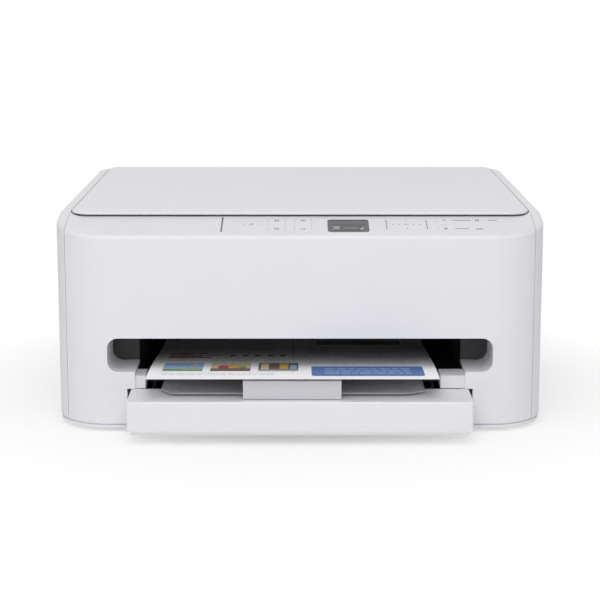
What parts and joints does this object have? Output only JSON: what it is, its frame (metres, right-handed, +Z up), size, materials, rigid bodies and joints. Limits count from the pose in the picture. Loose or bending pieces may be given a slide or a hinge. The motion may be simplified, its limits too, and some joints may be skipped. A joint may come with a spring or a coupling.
{
  "type": "multifunction printer",
  "caption": "Compact multifunction printer with hinged document cover, lifting flatbed scanner unit, drawn-out paper cassette, output tray with stop flap and control shelf.",
  "frame": {"origin": "middle of the box round the whole printer, on the surface it stands on", "axes": "+X to the right seen from the front, +Y to the back, +Z up"},
  "size_m": [0.372, 0.398, 0.162],
  "materials": {
    "casing_shell": "satin",
    "drawer_shell": "satin",
    "grey_plastic": "matte",
    "dark_plastic": "matte",
    "frame_plastic": "matte",
    "gear_plastic": "satin",
    "rubber": "matte",
    "steel": "satin",
    "screw_steel": "satin",
    "motor_case": "satin",
    "display": "gloss",
    "light": "gloss",
    "circuit_board": "satin",
    "keys": "satin",
    "glass": "gloss",
    "foam_pad": "matte",
    "black_ink": "satin",
    "colour_ink": "satin",
    "lock_green": "satin",
    "sheet_paper": "matte"
  },
  "bodies": {
    "casing": {"base_tray": "casing_shell", "rubber_feet": "rubber", "left_side_cover": "casing_shell", "right_side_cover": "casing_shell", "rear_cover": "casing_shell", "front_fascia": "casing_shell", "output_chute": "dark_plastic", "display_window": "display", "status_light": "light", "control_board": "circuit_board", "left_side_frame": "frame_plastic", "right_side_frame": "frame_plastic", "carriage_rail": "steel", "carriage_motor": "motor_case", "carriage_belt": "rubber", "platen": "frame_plastic", "spur_holder": "frame_plastic", "rear_paper_guide": "frame_plastic", "feed_motor": "motor_case", "purge_unit": "frame_plastic", "power_supply": "dark_plastic", "main_board": "circuit_board", "casing_screws": "screw_steel"},
    "rear_access_cover": {"rear_access_cover": "casing_shell"},
    "paper_cassette": {"paper_cassette": "drawer_shell"},
    "left_paper_guide": {"left_paper_guide": "grey_plastic"},
    "right_paper_guide": {"right_paper_guide": "grey_plastic"},
    "guide_pinion": {"guide_pinion": "gear_plastic"},
    "length_guide": {"length_guide": "grey_plastic"},
    "output_tray": {"output_tray": "grey_plastic"},
    "output_stop": {"output_stop": "casing_shell"},
    "printed_sheet": {"printed_sheet": "sheet_paper"},
    "feed_roller": {"feed_roller": "steel"},
    "eject_roller": {"eject_roller": "rubber"},
    "idler_gear": {"idler_gear": "gear_plastic"},
    "motor_pinion": {"motor_pinion": "gear_plastic"},
    "spur_wheels": {"spur_wheels": "steel"},
    "pick_arm": {"pick_arm": "frame_plastic"},
    "pick_roller": {"pick_roller": "rubber"},
    "print_carriage": {"print_carriage": "frame_plastic", "black_cartridge": "black_ink", "colour_cartridge": "colour_ink"},
    "left_lock_lever": {"left_lock_lever": "lock_green"},
    "right_lock_lever": {"right_lock_lever": "lock_green"},
    "drive_pulley": {"drive_pulley": "gear_plastic"},
    "scanner": {"scanner_base": "casing_shell", "scanner_bed": "casing_shell", "scanner_glass": "glass", "scan_rail": "steel"},
    "scan_bar": {"scan_bar": "dark_plastic", "scan_motor": "motor_case"},
    "cover_hinges": {"cover_hinges": "casing_shell"},
    "document_cover": {"document_cover": "casing_shell", "document_pad": "foam_pad"},
    "left_rocker": {"left_rocker": "keys"},
    "middle_rocker": {"middle_rocker": "keys"},
    "right_rocker": {"right_rocker": "keys"},
    "power_button": {"power_button": "keys"},
    "arrow_pad": {"arrow_pad": "keys"},
    "ok_button": {"ok_button": "keys"}
  },
  "joints": [
    {"name": "rear_access_cover_hinge", "type": "hinge", "parent": "casing", "child": "rear_access_cover", "pos_m": [0, 0.1966, 0.0166], "axis": [-1, 0, 0], "range_deg": [0, 80]},
    {"name": "cassette_slide", "type": "slide", "parent": "casing", "child": "paper_cassette", "axis": [0, -1, 0], "range_m": [-0.04, 0.25]},
    {"name": "left_guide_slide", "type": "slide", "parent": "paper_cassette", "child": "left_paper_guide", "axis": [1, 0, 0], "range_m": [0, 0.045]},
    {"name": "right_guide_slide", "type": "slide", "parent": "paper_cassette", "child": "right_paper_guide", "axis": [-1, 0, 0], "range_m": [0, 0.045]},
    {"name": "guide_pinion_spin", "type": "hinge", "parent": "paper_cassette", "child": "guide_pinion", "pos_m": [-0.0054, -0.051, 0.0107], "axis": [0, 0, -1], "range_deg": [0, 330]},
    {"name": "length_guide_slide", "type": "slide", "parent": "paper_cassette", "child": "length_guide", "axis": [0, 1, 0], "range_m": [0, 0.06]},
    {"name": "output_tray_slide", "type": "slide", "parent": "casing", "child": "output_tray", "axis": [0, 1, 0], "range_m": [0, 0.042]},
    {"name": "output_stop_hinge", "type": "hinge", "parent": "output_tray", "child": "output_stop", "pos_m": [0, -0.1886, 0.0376], "axis": [-1, 0, 0], "range_deg": [0, 90]},
    {"name": "sheet_slide", "type": "slide", "parent": "casing", "child": "printed_sheet", "axis": [0, -0.997, 0.078], "range_m": [0, 0.2]},
    {"name": "feed_roller_spin", "type": "hinge", "parent": "casing", "child": "feed_roller", "pos_m": [0, 0.077, 0.071], "axis": [1, 0, 0], "continuous": true},
    {"name": "eject_roller_spin", "type": "hinge", "parent": "casing", "child": "eject_roller", "pos_m": [0, -0.017, 0.071], "axis": [1, 0, 0], "continuous": true},
    {"name": "idler_gear_spin", "type": "hinge", "parent": "casing", "child": "idler_gear", "pos_m": [-0.1575, 0.03, 0.071], "axis": [1, 0, 0], "continuous": true},
    {"name": "motor_pinion_spin", "type": "hinge", "parent": "casing", "child": "motor_pinion", "pos_m": [-0.1575, 0.087, 0.0537], "axis": [1, 0, 0], "continuous": true},
    {"name": "spur_wheels_spin", "type": "hinge", "parent": "casing", "child": "spur_wheels", "pos_m": [0, -0.017, 0.0795], "axis": [1, 0, 0], "continuous": true},
    {"name": "pick_arm_hinge", "type": "hinge", "parent": "casing", "child": "pick_arm", "pos_m": [0, 0.103, 0.04], "axis": [-1, 0, 0], "range_deg": [0, 10]},
    {"name": "pick_roller_spin", "type": "hinge", "parent": "pick_arm", "child": "pick_roller", "pos_m": [0, 0.069, 0.0172], "axis": [1, 0, 0], "continuous": true},
    {"name": "carriage_slide", "type": "slide", "parent": "casing", "child": "print_carriage", "axis": [-1, 0, 0], "range_m": [0, 0.236]},
    {"name": "drive_pulley_spin", "type": "hinge", "parent": "casing", "child": "drive_pulley", "pos_m": [-0.15, 0.0624, 0.104], "axis": [0, 1, 0], "range_deg": [0, 2710]},
    {"name": "left_lock_lever_hinge", "type": "hinge", "parent": "print_carriage", "child": "left_lock_lever", "pos_m": [0.1145, -0.0117, 0.098], "axis": [1, 0, 0], "range_deg": [0, 30]},
    {"name": "right_lock_lever_hinge", "type": "hinge", "parent": "print_carriage", "child": "right_lock_lever", "pos_m": [0.1475, -0.0117, 0.098], "axis": [1, 0, 0], "range_deg": [0, 30]},
    {"name": "scanner_hinge", "type": "hinge", "parent": "casing", "child": "scanner", "pos_m": [0, 0.188, 0.1265], "axis": [-1, 0, 0], "range_deg": [0, 45]},
    {"name": "scan_bar_slide", "type": "slide", "parent": "scanner", "child": "scan_bar", "axis": [1, 0, 0], "range_m": [0, 0.27]},
    {"name": "cover_hinge_lift", "type": "slide", "parent": "scanner", "child": "cover_hinges", "axis": [0, 0, 1], "range_m": [0, 0.012]},
    {"name": "document_cover_hinge", "type": "hinge", "parent": "cover_hinges", "child": "document_cover", "pos_m": [0, 0.1872, 0.1553], "axis": [-1, 0, 0], "range_deg": [0, 85]},
    {"name": "left_rocker_hinge", "type": "hinge", "parent": "casing", "child": "left_rocker", "pos_m": [-0.0176, -0.13327, 0.15352], "axis": [1, 0, 0], "range_deg": [-1.5, 1.5], "stiffness_Nm_per_rad": 0.9},
    {"name": "middle_rocker_hinge", "type": "hinge", "parent": "casing", "child": "middle_rocker", "pos_m": [0.0022, -0.13327, 0.15352], "axis": [1, 0, 0], "range_deg": [-1.5, 1.5], "stiffness_Nm_per_rad": 0.9},
    {"name": "right_rocker_hinge", "type": "hinge", "parent": "casing", "child": "right_rocker", "pos_m": [0.1098, -0.13297, 0.15358], "axis": [1, 0, 0], "range_deg": [-1.5, 1.5], "stiffness_Nm_per_rad": 0.9},
    {"name": "power_button_press", "type": "slide", "parent": "casing", "child": "power_button", "axis": [0, 0.1762, -0.9843], "range_m": [0, 0.0006], "stiffness_N_per_m": 2000},
    {"name": "arrow_pad_hinge", "type": "hinge", "parent": "casing", "child": "arrow_pad", "pos_m": [0.0805, -0.13247, 0.15367], "axis": [1, 0, 0], "range_deg": [-1.2, 1.2], "stiffness_Nm_per_rad": 0.9},
    {"name": "ok_button_press", "type": "slide", "parent": "casing", "child": "ok_button", "axis": [0, 0.1762, -0.9843], "range_m": [0, 0.0006], "stiffness_N_per_m": 2000}
  ],
  "couplings": [
    {"joint": "right_guide_slide", "follows": "left_guide_slide", "ratio": 1},
    {"joint": "guide_pinion_spin", "follows": "left_guide_slide", "rad_per_m": 125},
    {"joint": "eject_roller_spin", "follows": "feed_roller_spin", "ratio": 1},
    {"joint": "idler_gear_spin", "follows": "feed_roller_spin", "ratio": -0.51613},
    {"joint": "motor_pinion_spin", "follows": "feed_roller_spin", "ratio": -4},
    {"joint": "spur_wheels_spin", "follows": "feed_roller_spin", "ratio": -1.4286},
    {"joint": "drive_pulley_spin", "follows": "carriage_slide", "rad_per_m": 200}
  ]
}
